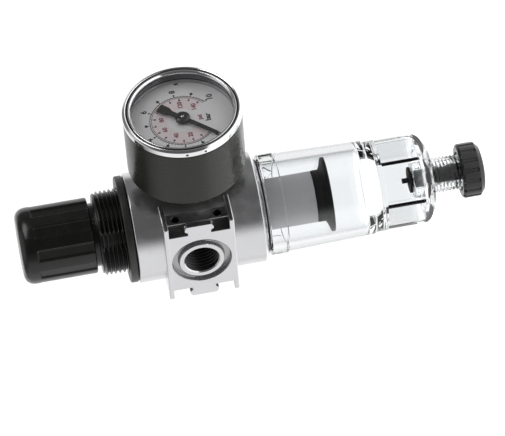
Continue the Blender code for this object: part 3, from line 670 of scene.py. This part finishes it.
def lug_pocket(d0, d1, z0, z1, round_low, depth=0.55, n=8):
    """A shallow window in the collar, square or with one round end, wrapped on the curve."""
    mid, half_h = (d0 + d1) / 2, (z0 - z1) / 2
    half_w = math.radians(abs(d1 - d0) / 2) * 17.4
    r = half_w * 0.92 if round_low else 1.0
    pts = []
    for cx, cz, a0 in ((half_w - r, -half_h + r, -90), (half_w - 0.7, half_h - 0.7, 0), (-half_w + 0.7, half_h - 0.7, 90), (-half_w + r, -half_h + r, 180)):
        rad = r if cz < 0 else 0.7
        for k in range(n + 1):
            t = math.radians(a0 + 90 * k / n)
            pts.append((cx + rad * math.cos(t), cz + rad * math.sin(t)))
    bm = bmesh.new()
    m = len(pts)

    def ring(rr, k):
        out = []
        for u, w in pts:
            a = math.radians(mid) + k * u / 17.4
            out.append(bm.verts.new((rr * math.cos(a) * MM, rr * math.sin(a) * MM, ((z0 + z1) / 2 + k * w) * MM)))
        return out

    low, high = 17.4 - depth, 17.9
    rings = [ring(low, k) for k in (0.15, 0.4, 0.6, 0.8, 1.0)] + [ring(high, k) for k in (1.0, 0.8, 0.6, 0.4, 0.15)]
    for A, B in zip(rings, rings[1:]):
        for i in range(m):
            j = (i + 1) % m
            bm.faces.new((A[i], A[j], B[j], B[i]))
    bm.faces.new(rings[0])
    bm.faces.new(rings[-1])
    bmesh.ops.recalc_face_normals(bm, faces=bm.faces)
    return bm


cuts = []
for turn_by in (0, 180):
    cuts.append(("DIFFERENCE", lug_pocket(-54 + turn_by, -80 + turn_by, -25.5, -30.0, False)))
    cuts.append(("DIFFERENCE", lug_pocket(-85 + turn_by, -103 + turn_by, -25.5, -30.1, True)))
bowl_bm = combined("bowl_work", outer, [("UNION", lower), ("UNION", nipple), ("DIFFERENCE", inside), ("DIFFERENCE", hex_room), ("DIFFERENCE", drain_bore)] + cuts)
piece("v_bowl", bowl_bm, CLEAR, "bowl_unit", ["bowl"], sharp=28)

oring = lathe([(15.75 + 0.26 * math.cos(t), -24.3 + 0.26 * math.sin(t), 0) for t in [2 * math.pi * i / 12 for i in range(12)]], 96, closed=True)
piece("v_bowl_o_ring", oring, BLACK_RUBBER_AND_SHADE, "bowl_seal", ["bowl_o_ring"], sharp=60)

# ------------------------------------------------------------------ drain
stem = lathe([(0, -73.4), (0.9, -73.4, 0.2), (0.9, -75.7, 0.2), (4.5, -75.7, 0.15), (4.5, -76.6, 0.15), (3.0, -76.6, 0.2), (3.0, -85.4, 0.1), (2.75, -85.9, 0.1), (2.75, -87.3, 0.1),
              (3.0, -87.8, 0.1), (3.0, -100.3, 0.3), (0, -100.3)], 64)
stem_thread = threaded(3.22, 2.9, 0.9, -97.0, -88.2, 48, 8, fade=0.4)
stem = combined("stem_work", stem, [("UNION", stem_thread)])
piece("v_drain_stem", stem, BAFFLE, "drain_valve", ["drain_stem"])
oring2 = lathe([(3.57 + 0.42 * math.cos(t), -86.6 + 0.42 * math.sin(t), 0) for t in [2 * math.pi * i / 12 for i in range(12)]], 64, closed=True)
piece("v_drain_o_ring", oring2, BLACK_RUBBER_AND_SHADE, "drain_valve", ["drain_o_ring"], sharp=60)
DH, DE = 0.55 / 9.5, 0.5 / 9.5


def drain_mod(r, z, a):
    if r > 8.8 and z > -99.6:
        r -= 0.5 * box_wave(a, 16, 0.0, DH, DE) * smooth01(z, -99.5, -99.1)
    return r, z


dknob = lathe([(0, -100.6), (3.3, -100.6, 0.2), (3.3, -97.4, 0.2), (6.8, -97.4, 0.3), (6.8, -93.4, 0.25), (8.9, -93.4, 0.3), (9.5, -94.2, 0.3), (9.5, -99.6, 0.5), (7.7, -101.2, 0.8), (5.0, -101.8, 0.5),
               (0, -101.8)], angles=band_angles(16, 0.0, DH, DE, 4), mod=drain_mod, split=(-99.5, -99.4, -99.3, -99.2, -99.1))
piece("v_drain_knob", dknob, BLACK, "drain_cap", ["drain_knob"], sharp=58)

# ------------------------------------------------------------------ rear plug and gauge connector
hex_plug = [(2.9 * math.cos(math.pi / 3 * i), 2.9 * math.sin(math.pi / 3 * i)) for i in range(6)]
plug = combined("plug_work", lathe([(0, 21.9), (6.6, 21.9, 0.15), (7.0, 21.5, 0.15), (7.0, 20.5, 0.15), (4.5, 20.5, 0), (4.5, 14.0, 0.2), (0, 14.0)], 72),
                [("DIFFERENCE", plate(hex_plug, 19.0, 24)), ("DIFFERENCE", lathe([(0, 23), (3.6, 23, 0), (2.6, 21.5, 0), (0, 21.5)], 48))])
piece("v_rear_plug", moved(plug, Y_BACK), BRASS, "housing", ["rear_plug"], sharp=30)
hex_conn = [(14.0 / math.sqrt(3) * math.cos(math.pi / 3 * i), 14.0 / math.sqrt(3) * math.sin(math.pi / 3 * i)) for i in range(6)]
flats = combined("conn_hex", plate(hex_conn, 21.2, 26.8), [("INTERSECT", lathe([(0, 27), (6.9, 27, 0), (8.3, 26.2, 0), (8.3, 21.8, 0), (6.9, 21.0, 0), (0, 21.0)], 72))])
conn = combined("conn_work", lathe([(0, 34.0), (4.0, 34.0, 0.2), (4.0, 27.6, 0), (6.0, 27.6, 0.2), (6.0, 20.5, 0.2), (4.5, 20.5, 0), (4.5, 13.0, 0.2), (0, 13.0)], 72),
                [("UNION", flats), ("DIFFERENCE", lathe([(0, 33.0), (1.2, 33.0, 0), (1.2, 10, 0), (0, 10)], 24))])
conn = moved(conn, Y_OUT)
seat_block = block((-3.0, -36.4, -16.0), (3.0, -31.2, 2.8), 0.3)
conn = combined("conn_all", conn, [("UNION", seat_block)])
piece("v_gauge_connector", conn, NICKEL, "housing", ["gauge_connector"], sharp=30)

# ------------------------------------------------------------------ gauge
case = lathe([(20.0, 51.2, 0.15), (20.0, 29.0, 0.5), (19.2, 28.3, 0.4), (4.5, 28.3, 0.3), (4.5, 29.7, 0.1), (18.5, 29.7, 0.6), (18.5, 51.2, 0.15)], 144, closed=True, seg=5)
piece("v_gauge_case", moved(case, Y_OUT), ENAMEL, "housing", ["gauge_case"], sharp=35)

bezel = lathe([(17.3, 53.5, 0.2), (17.75, 54.05, 0.25), (18.25, 54.0, 0.2), (18.6, 53.35, 0.12), (18.95, 53.95, 0.2), (19.35, 54.15, 0.3), (20.1, 53.45, 0.4), (20.1, 51.5, 0.25), (18.4, 51.5, 0.1),
               (18.4, 52.9, 0.1), (17.3, 52.9, 0.2)], 144, closed=True, seg=5)
# angle in the dial plane is measured from +X towards +Z, as seen from the front


# painted shade: the faces of the groove in the bezel front get the black rubber finish, standing in for the shade in
# the groove
def in_bezel_groove(c, n):
    return 18.3 < math.hypot(c.x, c.z) < 18.93 and -53.85 < c.y < -53.2


piece("v_gauge_bezel", moved(bezel, Y_OUT), CHROME, "housing", ["gauge_bezel"], sharp=35, extra=[(BLACK_RUBBER_AND_SHADE, in_bezel_groove)])
# painted shade: two thin black pads on the bezel rim instead of cut notches, standing in for the shade inside them
notch_shade = joined(*[moved(block((19.80, -0.5, 52.0), (20.11, 0.5, 52.95), 0.1), turn("Z", deg)) for deg in (175.2, 193.3)])
piece("v_bezel_notch_shade", moved(notch_shade, Y_OUT), BLACK_RUBBER_AND_SHADE, "housing", (), sharp=35)
lens = lathe([(0, 52.55), (17.4, 52.55, 0), (18.1, 52.45, 0.1), (18.1, 51.5, 0.12), (0, 51.5)], 144)
piece("v_gauge_lens", moved(lens, Y_OUT), LENS, "housing", ["gauge_lens"], sharp=35)
wall = lathe([(18.38, 51.35, 0.1), (17.95, 51.35, 0.1), (17.95, 49.55, 0.1), (18.38, 49.5, 0.1)], 144, closed=True)
piece("v_gauge_inner_wall", moved(wall, Y_OUT), WALL, "housing", (), sharp=35)
seal = lathe([(18.38, 49.42, 0.05), (17.9, 49.42, 0.1), (17.9, 49.05, 0.1), (18.38, 49.05, 0.05)], 144, closed=True)
piece("v_gauge_gasket", moved(seal, Y_OUT), BLACK_RUBBER_AND_SHADE, "housing", (), sharp=35)
ring = lathe([(18.38, 48.98, 0.1), (17.75, 48.98, 0.2), (17.5, 48.6, 0.2), (17.5, 48.03, 0.1), (18.38, 48.03, 0.05)], 144, closed=True)
piece("v_dial_ring", moved(ring, Y_OUT), RING, "housing", (), sharp=35)
dial = lathe([(18.2, 47.9, 0.08), (18.2, 47.4, 0.05), (1.2, 47.4, 0.05), (1.2, 47.9, 0.08)], 144, closed=True)
piece("v_gauge_dial", moved(dial, Y_OUT), DIAL, "housing", ["gauge_dial"], sharp=35)

ZERO, PER_BAR = 231.0, 28.2
INK_Z0, INK_Z1 = 47.905, 47.94


def dial_xy(r, deg):
    a = math.radians(deg)
    return r * math.cos(a), r * math.sin(a)


def arc_band(r0, r1, d0, d1, z0=INK_Z0, z1=INK_Z1, n=90):
    pts = [dial_xy(r1, d0 + (d1 - d0) * i / n) for i in range(n + 1)]
    pts += [dial_xy(r0, d1 + (d0 - d1) * i / n) for i in range(n + 1)]
    bm = bmesh.new()
    lo = [bm.verts.new((x * MM, y * MM, z0 * MM)) for x, y in pts]
    hi = [bm.verts.new((x * MM, y * MM, z1 * MM)) for x, y in pts]
    m = len(pts)
    for i in range(n):
        k = m - 1 - i
        bm.faces.new((hi[i], hi[i + 1], hi[k - 1], hi[k]))
        bm.faces.new((lo[i], lo[k], lo[k - 1], lo[i + 1]))
    for i in range(m):
        j = (i + 1) % m
        bm.faces.new((lo[i], lo[j], hi[j], hi[i]))
    bmesh.ops.recalc_face_normals(bm, faces=bm.faces)
    return bm


def tick(r0, r1, deg, w):
    a = math.radians(deg)
    ux, uy = math.cos(a), math.sin(a)
    pts = [(r0 * ux + w / 2 * uy, r0 * uy - w / 2 * ux), (r1 * ux + w / 2 * uy, r1 * uy - w / 2 * ux),
           (r1 * ux - w / 2 * uy, r1 * uy + w / 2 * ux), (r0 * ux - w / 2 * uy, r0 * uy + w / 2 * ux)]
    return plate(pts, INK_Z0, INK_Z1)


def spot(r, deg, rad):
    x, y = dial_xy(r, deg)
    return plate([(x + rad * math.cos(t), y + rad * math.sin(t)) for t in [2 * math.pi * i / 16 for i in range(16)]], INK_Z0, INK_Z1)


def words(text, size, x, y, heavy=0.0, rot=0.0):
    cu = bpy.data.curves.new("words", "FONT")
    cu.body = text
    cu.size = size * MM
    cu.align_x = "CENTER"
    cu.align_y = "CENTER"
    cu.resolution_u = 3
    cu.extrude = (INK_Z1 - INK_Z0) / 2 * MM
    cu.offset = heavy * MM
    ob = bpy.data.objects.new("words", cu)
    scene.collection.objects.link(ob)
    bpy.context.view_layer.update()
    me = bpy.data.meshes.new_from_object(ob.evaluated_get(bpy.context.evaluated_depsgraph_get()))
    bpy.data.objects.remove(ob, do_unlink=True)
    bpy.data.curves.remove(cu)
    me.transform(Matrix.Translation((x * MM, y * MM, (INK_Z0 + INK_Z1) / 2 * MM)) @ Matrix.Rotation(rot, 4, "Z"))
    bm = bmesh.new()
    bm.from_mesh(me)
    bpy.data.meshes.remove(me)
    return bm


black, red = [], []
end = ZERO - 10 * PER_BAR
black.append(arc_band(10.85, 11.1, ZERO, end))
black.append(tick(16.7, 17.4, -2.0, 1.4))
for i in range(51):
    d = ZERO - i * PER_BAR / 5
    if i % 5 == 0:
        black.append(tick(11.0, 11.75, d, 0.28))
    else:
        black.append(tick(11.0, 11.45, d, 0.14))
for i in range(11):
    d = ZERO - i * PER_BAR
    if i % 2:
        black.append(spot(12.35, d, 0.55))
    else:
        black.append(spot(11.95, d, 0.34))
        x, y = dial_xy(13.7, d)
        black.append(words(str(i), 2.7, x, y, 0.10))
x, y = dial_xy(8.8, 268)
black.append(words("bar", 2.5, x, y + 0.3, 0.10))
for i in range(15):
    d = ZERO - i * PER_BAR * 0.6895
    black.append(spot(9.35, d, 0.36))
    black.append(tick(9.7, 10.3, d, 0.2))
    if i % 2 == 0 and i > 0:
        x, y = dial_xy(7.1, d)
        red.append(words(str(i * 10), 2.1, x, y, 0.09))
red.append(arc_band(10.35, 10.55, ZERO, ZERO - 14.5 * PER_BAR * 0.6895))
x, y = dial_xy(5.9, 272)
red.append(words("psi", 2.1, x, y, 0.08))
piece("v_dial_scale_outer", moved(joined(*black), Y_OUT), INK, "housing", (), sharp=30)
piece("v_dial_scale_inner", moved(joined(*red), Y_OUT), INK_RED, "housing", (), sharp=30)
tint = arc_band(5.2, 10.3, ZERO - 2, end + 2, 47.902, 47.912)
piece("v_dial_scale_band", moved(tint, Y_OUT), INK_PINK, "housing", (), sharp=30)

REST = 228.0
hub = lathe([(0, 50.1), (1.7, 50.1, 0.3), (2.5, 49.7, 0.2), (2.5, 48.6, 0.15), (0.9, 48.6, 0), (0.9, 49.8, 0), (0, 49.8)], 64)
blade = plate([(14.2, 0.30), (13.6, 0.55), (1.5, 0.85), (-4.6, 0.85), (-5.8, 1.45), (-9.0, 1.75), (-9.4, 1.5), (-9.4, -1.5), (-9.0, -1.75), (-5.8, -1.45), (-4.6, -0.85), (1.5, -0.85), (13.6, -0.55), (14.2, -0.30)], 48.9, 49.4, 0.06)
blade = moved(blade, turn("Z", REST))
shaft_hole = lathe([(0, 49.8), (0.9, 49.8, 0), (0.9, 45, 0), (0, 45)], 32)
ptr = combined("pointer_work", hub, [("UNION", blade), ("DIFFERENCE", shaft_hole)])
piece("v_gauge_pointer", moved(ptr, Y_OUT), POINTER, "pointer", ["gauge_pointer"], sharp=30)
cap = lathe([(0, 50.2), (0.35, 50.18, 0), (0.6, 50.05, 0), (0.6, 49.95, 0), (0, 49.95)], 32)
piece("v_pointer_rivet", moved(cap, Y_OUT), STEEL, "pointer", (), sharp=40)

# ------------------------------------------------------------------ springs, each with a mesh of its own
def coil(r, wire, z0, z1, turns, per_turn=40, sides=12):
    n = int(turns * per_turn)
    lo, hi = z0 + wire, z1 - wire
    dead = 0.5 / turns
    bm = bmesh.new()
    rings = []
    for i in range(n + 1):
        t = i / n
        a = 2 * math.pi * turns * t
        u = min(max((t - dead) / (1 - 2 * dead), 0.0), 1.0)
        z = lo + (hi - lo) * u
        ring = []
        for k in range(sides):
            w = 2 * math.pi * k / sides
            rr = r + wire * math.cos(w)
            ring.append(bm.verts.new((rr * math.cos(a) * MM, rr * math.sin(a) * MM, (z + wire * math.sin(w)) * MM)))
        rings.append(ring)
    for A, B in zip(rings, rings[1:]):
        for k in range(sides):
            j = (k + 1) % sides
            bm.faces.new((A[k], A[j], B[j], B[k]))
    bm.faces.new(rings[0])
    bm.faces.new(rings[-1])
    bmesh.ops.recalc_face_normals(bm, faces=bm.faces)
    return bm


main_spring = piece("v_range_spring", coil(8.0, 0.72, 17.72, 25.88, 3.5), STEEL, "housing", ["range_spring"], sharp=50)
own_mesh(main_spring)
small_spring = piece("v_valve_spring", coil(3.7, 0.38, -6.58, -0.72, 4.5), STEEL, "housing", ["valve_spring"], sharp=50)
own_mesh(small_spring)

# ------------------------------------------------------------------ finishes of the carried-over CAD parts
KEEP = {"diaphragm": BLACK_RUBBER_AND_SHADE, "valve_seat": BRASS, "valve_guide": BRASS, "pointer_stop": STEEL,
        "movement_plate_rear": BRASS, "movement_plate_front": BRASS, "bourdon_tube": BRASS, "tube_tip": BRASS, "hairspring": STEEL, "adjusting_screw": STEEL,
        "spring_nut": BRASS, "diaphragm_plate": BRASS, "valve_plug": BRASS, "pointer_shaft": STEEL, "sector_gear": BRASS, "tube_link": STEEL}
for node, mat in KEEP.items():
    for s in NODES[node].material_slots:
        s.material = mat

# ------------------------------------------------------------------ floor
floor_mat = bpy.data.materials.new("studio_floor")
nt, fb = nodes_of(floor_mat)
fb.inputs["Roughness"].default_value = 0.9
fb.inputs["Specular IOR Level"].default_value = 0.1
fb.inputs["Emission Color"].default_value = (1.0, 1.0, 1.0, 1.0)
fb.inputs["Emission Strength"].default_value = 0.85
fco = nt.nodes.new("ShaderNodeTexCoord")
fn = nt.nodes.new("ShaderNodeTexNoise")
fn.inputs["Scale"].default_value = 6.0
nt.links.new(fco.outputs["Object"], fn.inputs["Vector"])
fm = nt.nodes.new("ShaderNodeMix")
fm.data_type = "RGBA"
fm.inputs["A"].default_value = (0.90, 0.90, 0.90, 1)
fm.inputs["B"].default_value = (0.93, 0.93, 0.93, 1)
nt.links.new(fn.outputs["Fac"], fm.inputs["Factor"])
nt.links.new(fm.outputs["Result"], fb.inputs["Base Color"])
bm = bmesh.new()
bmesh.ops.create_circle(bm, cap_ends=True, segments=96, radius=0.26)
bmesh.ops.translate(bm, vec=(0, 0, CAD_BOX[0][2] - 0.00005), verts=bm.verts)
fme = bpy.data.meshes.new("floor")
bm.to_mesh(fme)
bm.free()
floor = bpy.data.objects.new("floor", fme)
fme.materials.append(floor_mat)
floor.location.z -= 8.0 * MM  # below the bowl when it is dropped
scene.collection.objects.link(floor)

bpy.context.view_layer.update()
